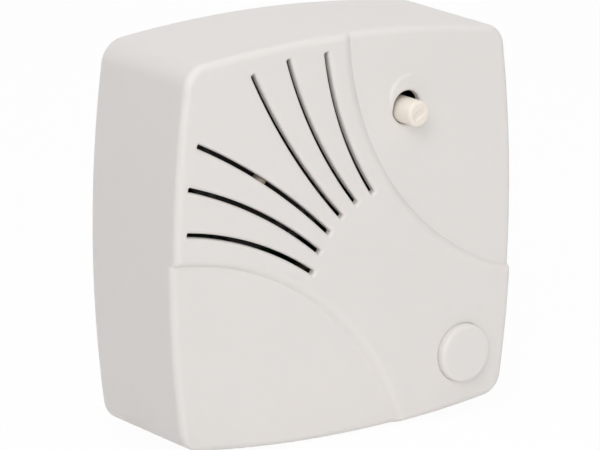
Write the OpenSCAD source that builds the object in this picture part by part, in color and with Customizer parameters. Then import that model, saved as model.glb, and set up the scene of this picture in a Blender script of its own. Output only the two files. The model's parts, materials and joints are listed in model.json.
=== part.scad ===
// Wall-mounted alarm siren: a deep bowed cover on a wall plate, with a loudspeaker, a volume
// spindle and a push button. Each part is drawn lying on its back, with x to the right, y up the
// wall and z out from the wall, and is then stood up so that +Z is up and the front faces -Y.

/* [Housing] */
// Width and height of the housing at the wall
body_w = 100; // [98:0.5:104]
// Depth from the wall to the raised band
body_d = 36; // [35.5:0.1:37]
// How far each side draws in between the wall and the front
draft = 0.5; // [0.3:0.1:0.8]
// Radius of the bowed sides
side_r = 305; // [290:5:340]
// Radius of the upright corners
corner_r = 6; // [5:0.5:7]
// Rounding of the front edge
edge_r = 2.2; // [1.6:0.2:2.6]
// Thickness of the cover's walls
wall = 2; // [1.8:0.1:2.2]

/* [Front] */
// Depth of the two lowered fields below the band
field_drop = 1.2; // [0.8:0.1:1.6]
// Radius of a lowered field's curved edge, halfway down its slope
field_r = 72.4; // [71:0.1:73]
// Width of the slope that runs down into a field
step_w = 2.2; // [1.6:0.1:2.6]
// Centre of the lower left field's edge, sideways
field_x = -53.3; // [-55:0.1:-52]
// Centre of the lower left field's edge, upwards
field_y = -71.4; // [-73:0.1:-70]
// Width of a sound slot at its outer end
slot_w = 1.15; // [1:0.05:1.3]
// Width of a sound slot at its inner end
slot_w_in = 1.55; // [1.3:0.05:1.7]
// Angle between neighbouring slots at their inner ends
slot_step = 11.7; // [11.2:0.1:12]

/* [Volume control] */
// Spindle position, sideways
knob_x = 16.8; // [16:0.1:18]
// Spindle position, upwards
knob_y = 28.7; // [28:0.1:30]
// Spindle diameter where it leaves the front
knob_d = 6.5; // [6:0.1:6.7]
// Spindle diameter at its tip
knob_tip_d = 6.3; // [5.4:0.1:6.4]
// Diameter of the hole in the front
knob_hole_d = 8.8; // [8.6:0.1:9.4]
// How far the spindle stands out past the band
knob_out = 4.2; // [3:0.1:5]
// Angle of the screwdriver slot above the horizontal
knob_turn = 30; // [0:1:90]

/* [Button] */
// Button position along the band's diagonal, to the right and down
button_at = 33.9; // [33:0.1:34.2]
// Button diameter
button_d = 14.4; // [13:0.1:15]
// How far the button stands out past the band
button_out = 2.5; // [1.8:0.1:3]
// How far the button can be pushed in
button_travel = 1.2; // [0.8:0.1:1.4]

/* [Loudspeaker] */
// Loudspeaker position, sideways
speaker_x = -22; // [-22.5:0.1:-21.5]
// Loudspeaker position, upwards
speaker_y = 22.5; // [22:0.1:23]
// Radius of the loudspeaker's rim
speaker_r = 22; // [21.8:0.1:22.4]

/* [Wall plate] */
// Thickness of the wall plate
base_t = 2.5; // [2.2:0.1:2.8]
// Distance between the wall screws, both ways
screw_pitch = 60; // [58:1:62]
// Width of a wall screw slot
screw_slot_w = 4.4; // [4:0.1:4.8]
// Length of a wall screw slot, end to end
screw_slot_l = 8; // [7:0.5:9]
// Diameter of the cable entry
cable_d = 12; // [8:0.5:14]

/* [Hidden] */
$fn = 64;

shell_white = "#e4e0db";
cream = "#f0e8dc";
black_paper = "#1c1b1a";
steel = "#b4b6b8";
brass = "#c9a44c";
green_board = "#2f5b3c";
black_plastic = "#232323";
black_steel = "#3a3a3b";

// Half the width of the front, and the lowest point that a cutter starts from
half = body_w / 2 - draft;
below = 1;
// Neighbouring round surfaces cross by this much, so that none only touches another
overlap = 0.01;
// Centre of the corner rounds, and the angle at which a side runs into one
corner_c = (sqrt(2 * pow(side_r - corner_r, 2) - pow(side_r - half, 2)) - side_r + half) / 2;
corner_a = atan2(corner_c, corner_c + side_r - half);
// Half angle of the arc that one side is cut from
side_a = 20;

// Inside of the cover: behind the lowered fields, and behind the band
field_z = body_d - field_drop;
inner_z = field_z - wall;
band_inner_z = body_d - wall;
inner_edge = 1;
// The cover ends this far from the wall, so that the wall plate takes the load
back_gap = 0.3;
// Room between pieces that go together by hand, and between pieces that move
fit = 0.3;

// Slots: the inner ends lie on a circle, the outer ends follow the side. The whole fan is moved a
// little down and to the left
fan_c = 13.85;
fan_r = 25.1;
fan_shift = -0.25;
slot_ends = [[-45.9, 7.2], [-45.5, 18], [-43, 28]];
slot_radii = [82, 107, 149.5];

// Circuit board
board_z = 12.4;
board_t = 1.6;
board_top = board_z + board_t;
board_low = [-44, -41];
board_high = [41.5, 39];
board_posts = [[-38, -36], [14, -36], [37, 33.5], [37, -11], [-41, -7]];
post_r = 3;
pilot_r = 1.25;
screw_r = 1.2;

// Loudspeaker heights, from the pole's back to the gasket's front
yoke_z = 16.4;
yoke_t = 1.8;
magnet_t = 4;
plate_t = 1.6;
magnet_z = yoke_z + yoke_t;
plate_z = magnet_z + magnet_t;
frame_z = plate_z + plate_t;
frame_gauge = 0.8;
rim_z = 31.4;
rim_t = 1;
surround_z = rim_z + rim_t;
sheet = 0.4;
gasket_z = surround_z + sheet;
coil_in = 4.5;
coil_out = 4.9;
magnet_r = 12.5;
cone_r = 16.2;
cone_neck = 5;
cone_low = 29;
cone_rise = 2.9;
cap_r = 5;
dome_r = 8;
dome_z = cone_low + sheet - sqrt(dome_r * dome_r - cap_r * cap_r);
strip_at = 19.3;
strip_t = 0.8;
lug_t = 0.4;
clamp_angles = [30, 135, 240];
clamp_at = speaker_r + 2.9;
clamp_r = 2.3;

// Push button and the switch behind it
button_clear = 0.18;
flange_r = button_d / 2 + 1.4;
flange_t = 1.2;
flange_z = band_inner_z - fit - flange_t;
sleeve_t = 1.2;
sleeve_h = 7;
switch_w = 12;
switch_h = 4.3;
plunger_r = 3.1;
plunger_top = 21.5;

// The spindle's hole stands a little high and to the right of the spindle, and a raised crescent
// stands round its upper half
hole_at = [knob_x + 0.35, knob_y + 0.7];
crescent_at = hole_at + [0.5, 2.45];
crescent_r = 5.6;
crescent_rise = 0.4;

// Volume control behind the front
pot_r = 7.5;
pot_top = board_top + 6.5;
rotor_r = 5;
rotor_t = 2.2;
rotor_top = pot_top + 0.4;
rotor_bore = 1.95;

// Latch hooks on the wall plate and ledges in the cover
latch_x = 25;
latch_w = 8;
ledge_y = 45.4;
ledge_z = 5;
ledge_t = 2;
rim_h = 4.5;

// Where parts stand on the circuit board
main_cap_at = [15, -8];
small_caps_at = [[27, 3], [27, 11]];
chip_at = [3, -25];
transistor_at = [-13, -20];
resistors_at = [[19, -26], [19, -21.5], [27, -20], [1, -12]];
diode_at = [-12, -29];
terminal_at = [10, 8];
wire_ends = [[5.5, 20.5], [5.5, 24.5]];
cable_at = [0, -12];

module on_wall() {
    rotate([90, 0, 0]) children();
}

// Draws its children, and again mirrored about the band's diagonal
module both_sides() {
    children();
    mirror([1, 1, 0]) children();
}

module at(p, z = 0) {
    translate([p[0], p[1], z]) children();
}

// Section of a wall from its core outwards: a drafted side that rolls over into the front.
// roll_h is how much of the rounding is kept
module wall_section(core, r, low, high, edge, roll_h) {
    roll_z = high + overlap - edge;
    polygon([
        [core, low], [r + draft, low], [r + draft, 0], [r, roll_z],
        [r - edge, roll_z], [r - edge, roll_z + roll_h], [core, roll_z + roll_h]
    ]);
    translate([r - edge, roll_z]) intersection() {
        circle(edge);
        square([edge + 1, roll_h]);
    }
}

// One bowed side, deep enough to hold the whole housing
module side(inset, high, edge) {
    r = side_r - inset;
    core = r - body_w - 2 * corner_r;
    translate([half - side_r, 0, 0]) rotate(-side_a)
        rotate_extrude(angle = 2 * side_a, $fn = 360)
            wall_section(core, r, 0, high, edge, edge - overlap);
}

// Moves its children to the centre of the upper right corner's rounding
module at_corner(z) {
    c = corner_c + overlap;
    translate([c, c, z]) children();
}

// The corner's share of the outline, from one side's end to the other's
module corner_sector() {
    reach = 4 * corner_r;
    polygon([
        [0, 0], reach * [cos(corner_a), sin(corner_a)],
        [reach, reach], reach * [sin(corner_a), cos(corner_a)]
    ]);
}

// What a corner's rounding takes away from the upper right corner
module corner_waste(inset, high, edge) {
    at_corner(0) difference() {
        translate([0, 0, -below]) linear_extrude(high + 2 * below) corner_sector();
        rotate_extrude() wall_section(0, corner_r - inset, -2 * below, high, edge, edge);
    }
}

// Solid of the housing's outline, set in by inset, from the wall up to high
module housing_form(inset, high, edge) {
    difference() {
        intersection() {
            side(inset, high, edge);
            rotate(90) side(inset, high, edge);
            rotate(180) side(inset, high, edge);
            rotate(270) side(inset, high, edge);
        }
        for (k = [0:3]) rotate(90 * k) corner_waste(inset, high, edge);
    }
}

// Straight-walled plate of the same outline, set in by inset
module plate_form(inset, z, h) {
    difference() {
        intersection() {
            plate_side(inset, z, h);
            rotate(90) plate_side(inset, z, h);
            rotate(180) plate_side(inset, z, h);
            rotate(270) plate_side(inset, z, h);
        }
        for (k = [0:3]) rotate(90 * k) at_corner(z - below) difference() {
            linear_extrude(h + 2 * below) corner_sector();
            translate([0, 0, -below]) cylinder(r = corner_r - inset, h = h + 4 * below);
        }
    }
}

module plate_side(inset, z, h) {
    translate([half - side_r, 0, z]) cylinder(r = side_r - inset, h = h, $fn = 360);
}

// What lowers the lower left field, down a slope along the field's curved edge
module field_waste() {
    start = field_z - edge_r - below;
    low_r = field_r - step_w / 2;
    high_r = field_r + step_w / 2 + below * step_w / field_drop;
    difference() {
        translate([field_x, field_y, 0]) rotate_extrude($fn = 180) polygon([
            [0, start], [low_r, start], [low_r, field_z], [high_r, body_d + below], [0, body_d + below]
        ]);
        housing_form(-overlap / 2, field_z, edge_r);
    }
}

// Space behind the band, which keeps the front one wall thick
module band_pocket() {
    difference() {
        housing_form(wall + fit, band_inner_z, inner_edge);
        both_sides() translate([field_x, field_y, -below])
            cylinder(r = field_r + wall, h = body_d + 2 * below, $fn = 180);
    }
}

// Centre of an arc of radius r from p to q that bulges up and to the right
function arc_centre(p, q, r) =
    (p + q) / 2 + sqrt(r * r - pow(norm(q - p) / 2, 2)) * [q[1] - p[1], p[0] - q[0]] / norm(q - p);

// One slot of the fan, from its outer end p to its inner end q. It lies between two arcs of radius r
// that draw apart towards the inner end
module slot(p, q, r) {
    c = arc_centre(p, q, r);
    out_p = (p - c) / r;
    out_q = (q - c) / r;
    far = arc_centre(p + slot_w / 2 * out_p, q + slot_w_in / 2 * out_q, r);
    near = arc_centre(p - slot_w / 2 * out_p, q - slot_w_in / 2 * out_q, r);
    start = inner_z - 2 * below;
    reach = 8;
    intersection() {
        difference() {
            at(far, start) cylinder(r = r, h = body_d, $fn = 360);
            at(near, start - below) cylinder(r = r, h = body_d + 2 * below, $fn = 360);
        }
        at([0, 0], start - 2 * below) linear_extrude(body_d + 4 * below) polygon([
            p - reach * out_p, p + reach * out_p, q + reach * out_q, q - reach * out_q
        ]);
    }
}

module slots() {
    translate([fan_shift, fan_shift, 0]) both_sides() for (k = [0:2]) {
        a = 135 + slot_step * (2.5 - k);
        slot(slot_ends[k], [fan_c + fan_r * cos(a), fan_r * sin(a) - fan_c], slot_radii[k]);
    }
}

module speaker_place() {
    translate([speaker_x, speaker_y, 0]) children();
}

// Draws its children at each of the three clamps round the loudspeaker
module at_clamps() {
    speaker_place() for (a = clamp_angles) rotate(a) translate([clamp_at, 0, 0]) children();
}

module front_cover() {
    color(shell_white) on_wall() difference() {
        union() {
            difference() {
                union() {
                    cover_shell();
                    speaker_rim();
                    at(crescent_at, field_z - wall / 2) cylinder(r = crescent_r, h = wall / 2 + crescent_rise);
                }
                slots();
                at(hole_at) cylinder(d = knob_hole_d, h = body_d + below);
                at([button_at, -button_at])
                    cylinder(r = button_d / 2 + button_clear, h = body_d + below);
            }
            for (p = board_posts) at(p, board_top) cylinder(r = post_r, h = inner_z + 1 - board_top);
            at_clamps() translate([0, 0, rim_z]) cylinder(r = clamp_r, h = body_d - 1 - rim_z);
            button_sleeve();
            ledges();
        }
        for (p = board_posts) at(p, board_top - below) cylinder(r = pilot_r, h = 10);
        at_clamps() translate([0, 0, rim_z - below]) cylinder(r = pilot_r, h = 3.2);
    }
}

module cover_shell() {
    notch_w = 12;
    notch_h = 1.5;
    difference() {
        housing_form(0, body_d, edge_r);
        both_sides() field_waste();
        housing_form(wall, inner_z, inner_edge);
        band_pocket();
        translate([-body_w, -body_w, -below]) cube([2 * body_w, 2 * body_w, below + back_gap]);
        translate([-notch_w / 2, -body_w, -below]) cube([notch_w, body_w / 2 + 4, below + notch_h]);
    }
}

// Low ring that the loudspeaker drops into
module speaker_rim() {
    rim_gap = 0.4;
    rim_w = 1.2;
    inner = speaker_r + rim_gap;
    speaker_place() rotate_extrude() translate([inner, rim_z + fit]) square([rim_w, body_d - 1 - rim_z - fit]);
}

module button_sleeve() {
    inner = flange_r + fit;
    at([button_at, -button_at]) rotate_extrude()
        translate([inner, band_inner_z - sleeve_h]) square([sleeve_t, sleeve_h + 1]);
}

module ledges() {
    for (side = [0, 180], x = [-latch_x, latch_x]) rotate(side)
        translate([x - latch_w / 2 - 1, ledge_y, ledge_z]) cube([latch_w + 2, 2.2, ledge_t]);
}

module base_plate() {
    plate_inset = wall - draft + fit;
    rim_w = 1.4;
    color("#d9d6d1") on_wall() {
        difference() {
            plate_form(plate_inset, 0, rim_h);
            plate_form(plate_inset + rim_w, base_t, rim_h);
            for (x = [-1, 1], y = [-1, 1]) at(screw_pitch / 2 * [x, y]) screw_slot();
            at(cable_at, -below) cylinder(d = cable_d, h = base_t + 2 * below);
        }
        for (side = [0, 180], x = [-latch_x, latch_x]) rotate(side) translate([x, 0, 0]) hook();
    }
}

module screw_slot() {
    run = screw_slot_l - screw_slot_w;
    translate([0, 0, -below]) linear_extrude(base_t + 2 * below) {
        square([run, screw_slot_w], center = true);
        for (s = [-1, 1]) translate([s * run / 2, 0]) circle(d = screw_slot_w);
    }
}

// Springy arm whose nose catches behind a ledge of the cover
module hook() {
    arm_t = 1.7;
    arm_y = ledge_y - 1;
    nose = 1.8;
    top = ledge_z + ledge_t + 3;
    translate([latch_w / 2, 0, 0]) rotate([0, -90, 0]) linear_extrude(latch_w) polygon([
        [base_t / 2, arm_y - arm_t], [top, arm_y - arm_t], [top, arm_y],
        [ledge_z + ledge_t + fit + 0.6, arm_y + nose], [ledge_z + ledge_t + fit, arm_y + nose],
        [ledge_z + ledge_t + fit, arm_y], [base_t / 2, arm_y]
    ]);
}

// Section of a round end of radius r: a flat face at top, with a rounded edge
module end_section(r, top, round) {
    translate([0, top - round]) square([r - round, round]);
    translate([r - round, top - round]) intersection() {
        circle(round);
        square(round + 1);
    }
}

module volume_knob() {
    tip = body_d + knob_out;
    round = 0.8;
    groove = [4.2, 0.9, 0.5];
    color(cream) on_wall() at([knob_x, knob_y]) difference() {
        union() {
            rotate_extrude() {
                polygon([
                    [0, rotor_top], [knob_d / 2, rotor_top], [knob_d / 2, field_z - 2],
                    [knob_tip_d / 2, tip - round], [0, tip - round]
                ]);
                end_section(knob_tip_d / 2, tip, round);
            }
            translate([0, 0, rotor_top - rotor_t]) cylinder(r = rotor_bore - 0.05, h = rotor_t + 1);
        }
        rotate(knob_turn) translate([-groove[0] / 2, -groove[1] / 2, tip - groove[2]])
            cube([groove[0], groove[1], 2 * groove[2]]);
    }
}

module potentiometer_body() {
    foot = 12;
    recess = rotor_top - rotor_t - fit;
    color(black_plastic) on_wall() at([knob_x, knob_y]) difference() {
        union() {
            translate([0, 0, board_top]) cylinder(r = pot_r, h = pot_top - board_top);
            translate([-foot / 2, -pot_r - 2, board_top]) cube([foot, pot_r, 3]);
        }
        translate([0, 0, recess]) cylinder(r = rotor_r + fit, h = pot_top);
    }
}

module potentiometer_rotor() {
    color("#e9e3d2") on_wall() at([knob_x, knob_y], rotor_top - rotor_t) difference() {
        cylinder(r = rotor_r, h = rotor_t);
        translate([0, 0, -below]) cylinder(r = rotor_bore, h = rotor_t + 2 * below);
    }
}

module push_button() {
    r = button_d / 2;
    top = body_d + button_out;
    round = 0.6;
    stem_r = 2.2;
    rib = 0.9;
    color(shell_white) on_wall() at([button_at, -button_at]) {
        rotate_extrude() {
            polygon([
                [0, plunger_top + 0.1], [stem_r, plunger_top + 0.1], [stem_r, flange_z],
                [flange_r, flange_z], [flange_r, flange_z + flange_t], [r, flange_z + flange_t],
                [r, top - round], [0, top - round]
            ]);
            end_section(r, top, round);
        }
        for (k = [0:3]) rotate(90 * k)
            translate([0, -rib / 2, flange_z - 5]) cube([flange_r - 2, rib, 5.5]);
    }
}

module switch_body() {
    floor_t = 0.6;
    color(black_plastic) on_wall() at([button_at, -button_at], board_top) difference() {
        translate([-switch_w / 2, -switch_w / 2, 0]) cube([switch_w, switch_w, switch_h]);
        translate([0, 0, floor_t]) cylinder(r = plunger_r + fit, h = switch_h);
    }
}

module switch_plunger() {
    bottom = board_top + 0.6 + button_travel + 0.2;
    color("#c8352c") on_wall() at([button_at, -button_at], bottom)
        cylinder(r = plunger_r, h = plunger_top - bottom);
}

module circuit_board() {
    size = board_high - board_low;
    color(green_board) on_wall() difference() {
        translate([board_low[0], board_low[1], board_z]) cube([size[0], size[1], board_t]);
        for (p = board_posts) at(p, board_z - below) cylinder(r = 1.6, h = board_t + 2 * below);
    }
}

// Pan head screw pointing out of the wall, with its head's seat at z = 0
module pan_screw(shank, head_r = 2.5, head_h = 1.7) {
    slot_w = 0.7;
    difference() {
        union() {
            translate([0, 0, -head_h]) cylinder(r = head_r, h = head_h);
            translate([0, 0, -head_h / 2]) cylinder(r = screw_r, h = shank + head_h / 2);
        }
        for (a = [0, 90]) rotate(a)
            translate([-head_r * 0.7, -slot_w / 2, -2 * head_h]) cube([head_r * 1.4, slot_w, head_h * 1.6]);
    }
}

module board_screws() {
    color(steel) on_wall() for (p = board_posts) at(p, board_z) pan_screw(8);
}

// Two-pole screw terminal on the back of the board, with its wire mouths facing down
module terminal_block() {
    pitch = 5;
    w = 2 * pitch;
    h = 9;
    deep = 8;
    color("#3f7a4a") on_wall() at(terminal_at, board_z - h) difference() {
        translate([-w / 2, -deep / 2, 0]) cube([w, deep, h]);
        for (s = [-1, 1]) translate([s * pitch / 2, 0, 0]) {
            translate([0, 0, -below]) cylinder(r = 1.8, h = 3);
            translate([-1.7, -deep, 4.5]) cube([3.4, deep + 1, 3.2]);
        }
    }
}

module terminal_screws() {
    pitch = 5;
    h = 9;
    head = 1.6;
    color(steel) on_wall() for (s = [-1, 1]) at(terminal_at + [s * pitch / 2, 0], board_z - h + 0.6)
        difference() {
            cylinder(r = 1.5, h = 1.4);
            translate([-head, -0.3, -below]) cube([2 * head, 0.6, below + 0.7]);
        }
}

// Upright electrolytic capacitor with a groove round its foot
module can_capacitor(r, h) {
    lip = r * 0.08;
    groove_z = h * 0.14;
    rotate_extrude() polygon([
        [0, 0], [r, 0], [r, groove_z], [r - lip, groove_z + lip], [r, groove_z + 2 * lip],
        [r, h - lip], [r - lip, h], [r - 3 * lip, h], [r - 3 * lip, h - lip], [0, h - lip]
    ]);
}

module main_capacitor() {
    color("#27335c") on_wall() at(main_cap_at, board_top) can_capacitor(5, 16);
}

module small_capacitors() {
    color("#27335c") on_wall() for (p = small_caps_at) at(p, board_top) can_capacitor(3.15, 11);
}

module tone_chip() {
    size = [19, 6.4, 3.3];
    stand_off = 0.6;
    color(black_plastic) on_wall() at(chip_at, board_top + stand_off) difference() {
        translate([-size[0] / 2, -size[1] / 2, 0]) cube(size);
        translate([-size[0] / 2, 0, size[2] - 0.5]) cylinder(r = 1, h = below);
    }
}

module chip_legs() {
    pitch = 2.54;
    count = 7;
    row = 7.62;
    color(steel) on_wall() for (k = [0:count - 1], s = [-1, 1])
        at(chip_at + [(k - (count - 1) / 2) * pitch, s * row / 2], board_top) rotate([0, 0, 90 * (1 + s)])
            rotate([90, 0, 90]) translate([0, 0, -0.6]) linear_extrude(1.2)
                polygon([[-0.15, 0], [0.15, 0], [0.15, 2.2], [0.61, 2.2], [0.61, 2.5], [-0.15, 2.5]]);
}

module output_transistor() {
    body = [10, 4.4, 9];
    tab = [10, 1.3, 15.2];
    leg = [0.8, 0.5, 3];
    color(black_plastic) on_wall() at(transistor_at, board_top) difference() {
        union() {
            translate([-body[0] / 2, -body[1], leg[2]]) cube(body);
            translate([-tab[0] / 2, -tab[1], leg[2]]) cube([tab[0], tab[1] + 0.1, tab[2] - leg[2] + 0.8]);
            for (x = [-2.54, 0, 2.54]) translate([x - leg[0] / 2, -2.6, 0]) cube(leg + [0, 0, 0.5]);
        }
        translate([0, 1, 13.4]) rotate([90, 0, 0]) cylinder(r = 1.5, h = 4);
    }
}

// Axial part lying along x, with its two legs bent down to the board
module axial_part(r, len, pitch) {
    leg_r = 0.3;
    lift = r + 0.2;
    translate([-len / 2, 0, lift]) rotate([0, 90, 0]) cylinder(r = r, h = len);
    translate([-pitch / 2, 0, lift]) rotate([0, 90, 0]) cylinder(r = leg_r, h = pitch);
    for (s = [-1, 1]) translate([s * pitch / 2, 0, 0]) {
        cylinder(r = leg_r, h = lift);
        translate([0, 0, lift]) sphere(leg_r);
    }
}

module resistors() {
    color("#d3b98b") on_wall() for (p = resistors_at) at(p, board_top) axial_part(1.2, 6.3, 10);
}

module diode() {
    color("#2a2a2c") on_wall() at(diode_at, board_top) axial_part(1.35, 5.2, 10);
}

// Cones of solder on the back of the board under each leg
module solder_joints() {
    pads = concat(
        [for (x = [-5, 0, 5]) [knob_x + x, knob_y - pot_r]],
        [for (x = [-1, 1], y = [-1, 1]) [button_at + 3.5 * x, 3 * y - button_at]],
        [for (k = [-3:3], s = [-1, 1]) chip_at + [k * 2.54, s * 3.81]],
        [for (p = resistors_at, s = [-1, 1]) p + [5 * s, 0]],
        [for (s = [-1, 1]) diode_at + [5 * s, 0]],
        [for (x = [-2.54, 0, 2.54]) transistor_at + [x, -2.35]],
        [for (s = [-1, 1]) main_cap_at + [2.5 * s, 0]],
        [for (p = small_caps_at, s = [-1, 1]) p + [1.25 * s, 0]],
        wire_ends
    );
    color(steel) on_wall() for (p = pads) at(p, board_z - 1) cylinder(r1 = 0.4, r2 = 0.95, h = 1);
}

module speaker_gasket() {
    width = 2.4;
    color("#2b2a29") on_wall() speaker_place() rotate_extrude()
        translate([speaker_r - width, gasket_z]) square([width, band_inner_z - gasket_z]);
}

// Pressed steel basket: a rim, a conical wall with four windows, and a floor on the top plate
module speaker_frame() {
    floor_r = 10.6;
    wall_w = 1.1;
    window = [12, 10, 4.4];
    foot = frame_z + frame_gauge;
    throat = speaker_r - 4;
    color(black_steel) on_wall() speaker_place() difference() {
        rotate_extrude() polygon([
            [speaker_r, rim_z], [speaker_r, surround_z], [throat, surround_z], [floor_r, foot],
            [6.4, foot], [6.4, frame_z], [floor_r + wall_w, frame_z], [throat + wall_w, rim_z]
        ]);
        for (k = [0:3]) rotate(90 * k)
            translate([floor_r - 0.5, -window[1] / 2, foot + 1]) cube(window);
    }
}

// Glued ring and half roll that carry the cone's edge
module cone_surround() {
    roll_r = 1;
    roll_at = cone_r + fit + roll_r + sheet / 2;
    glue_w = 2;
    color(black_paper) on_wall() speaker_place() rotate_extrude() {
        translate([speaker_r - 0.4 - glue_w, surround_z]) square([glue_w, sheet]);
        translate([roll_at + roll_r, surround_z])
            square([speaker_r - 0.4 - glue_w - roll_at - roll_r + 0.2, sheet]);
        translate([roll_at, surround_z]) intersection() {
            difference() {
                circle(roll_r + sheet / 2);
                circle(roll_r - sheet / 2);
            }
            translate([-2 * roll_r, 0]) square(4 * roll_r);
        }
    }
}

module speaker_cone() {
    color(black_paper) on_wall() speaker_place() rotate_extrude() polygon([
        [cone_neck, cone_low], [cone_r, cone_low + cone_rise],
        [cone_r, cone_low + cone_rise + sheet], [cone_neck, cone_low + sheet]
    ]);
}

module dust_cap() {
    color(black_paper) on_wall() speaker_place() rotate_extrude() intersection() {
        translate([0, dome_z]) difference() {
            circle(dome_r);
            circle(dome_r - sheet);
        }
        translate([0, cone_low + sheet + 2 * overlap]) square([cap_r, dome_r]);
    }
}

// Two beads of glue on the cone, over the joints of its leads, which run up to the dust cap
module lead_glue_dots() {
    dot_r = 1.7;
    dot_at = 6.4;
    dot_a = 265;
    lift = 0.5;
    seat = cone_low + sheet + 2 * overlap;
    rise = cone_rise * (dot_at - cone_neck) / (cone_r - cone_neck);
    color("#d9c4a4") on_wall() speaker_place() difference() {
        for (s = [0, 180]) rotate(dot_a + s) translate([dot_at, 0, seat + rise + lift]) sphere(dot_r);
        rotate_extrude() polygon([
            [0, cone_low - dot_r], [cone_r, cone_low - dot_r], [cone_r, seat + cone_rise], [cone_neck, seat], [0, seat]
        ]);
        translate([0, 0, dome_z]) sphere(dome_r + 3 * overlap, $fn = 128);
    }
}

module voice_coil() {
    low = magnet_z + 1.6;
    color("#a5602f") on_wall() speaker_place() difference() {
        translate([0, 0, low]) cylinder(r = coil_out, h = cone_low + sheet - low);
        translate([0, 0, low - below]) cylinder(r = coil_in, h = body_d);
    }
}

// Corrugated disc that keeps the coil centred
module spider() {
    spider_z = frame_z + frame_gauge;
    inner = coil_out + fit;
    outer = 10;
    wave = 0.35;
    rings = 6;
    pitch = (outer - inner) / rings;
    color("#c4a463") on_wall() speaker_place() rotate_extrude() polygon(concat(
        [for (k = [0:rings]) [inner + k * pitch, spider_z + (k % 2) * wave]],
        [for (k = [rings:-1:0]) [inner + k * pitch, spider_z + sheet + (k % 2) * wave]]
    ));
}

module top_plate() {
    color(steel) on_wall() speaker_place() difference() {
        translate([0, 0, plate_z]) cylinder(r = magnet_r - 0.6, h = plate_t);
        translate([0, 0, plate_z - below]) cylinder(r = coil_out + fit, h = body_d);
    }
}

module ring_magnet() {
    color("#4a4a4c") on_wall() speaker_place() difference() {
        translate([0, 0, magnet_z]) cylinder(r = magnet_r, h = magnet_t);
        translate([0, 0, magnet_z - below]) cylinder(r = coil_out + 1.5, h = body_d);
    }
}

module pole_yoke() {
    color(steel) on_wall() speaker_place() {
        translate([0, 0, yoke_z]) cylinder(r = magnet_r - 0.6, h = yoke_t);
        translate([0, 0, yoke_z]) cylinder(r = coil_in - fit, h = frame_z - yoke_z);
    }
}

// Insulating strip under the frame's rim, which reaches out past it
module terminal_strip() {
    size = [7, 8, strip_t];
    color(black_plastic) on_wall() speaker_place()
        translate([strip_at, -size[1] / 2, rim_z - strip_t]) cube(size);
}

module solder_lugs() {
    size = [3, 1.8, lug_t];
    color(brass) on_wall() speaker_place() for (s = [-1, 1])
        translate([strip_at + 3.6, 2 * s - size[1] / 2, rim_z - strip_t - lug_t]) cube(size);
}

// Two leads from the lugs, bent down to the board
module speaker_wires() {
    wire_r = 0.7;
    bend = 2.6;
    wire_z = rim_z - strip_t - lug_t - wire_r - 0.02;
    start = speaker_x + strip_at + 4;
    color("#b23227") on_wall() for (p = wire_ends) {
        translate([start, p[1], wire_z]) rotate([0, 90, 0]) cylinder(r = wire_r, h = p[0] - bend - start);
        translate([p[0] - bend, p[1], wire_z - bend]) rotate([90, 0, 0])
            rotate_extrude(angle = 90) translate([bend, 0]) circle(wire_r);
        at(p, board_top) cylinder(r = wire_r, h = wire_z - bend - board_top);
    }
}

module clamp_washers() {
    t = 0.8;
    color(black_steel) on_wall() at_clamps() translate([0, 0, rim_z - t]) difference() {
        cylinder(r = 4, h = t);
        translate([0, 0, -below]) cylinder(r = pilot_r + 0.1, h = t + 2 * below);
    }
}

module clamp_screws() {
    t = 0.8;
    color(black_steel) on_wall() at_clamps() translate([0, 0, rim_z - t]) pan_screw(2.8);
}

front_cover();
base_plate();
volume_knob();
potentiometer_body();
potentiometer_rotor();
push_button();
switch_body();
switch_plunger();
circuit_board();
board_screws();
terminal_block();
terminal_screws();
main_capacitor();
small_capacitors();
tone_chip();
chip_legs();
output_transistor();
resistors();
diode();
solder_joints();
speaker_gasket();
speaker_frame();
cone_surround();
speaker_cone();
dust_cap();
lead_glue_dots();
voice_coil();
spider();
top_plate();
ring_magnet();
pole_yoke();
terminal_strip();
solder_lugs();
speaker_wires();
clamp_washers();
clamp_screws();
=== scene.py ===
"""Wall-mounted alarm siren in off-white plastic: a fan of sound slots, a volume spindle and a push button.

Lengths are in millimetres until a mesh is made. Shapes are drawn lying on their back, with x to the right,
y up the wall and z out from it. The mesh then stands them up, so that +Z is up and the front faces -Y, in
metres. The camera and the lights are in metres from the start.
"""
import json
import math
from collections import namedtuple

import bpy
import numpy as np
from mathutils import Matrix, Vector
from mathutils.geometry import delaunay_2d_cdt


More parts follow.
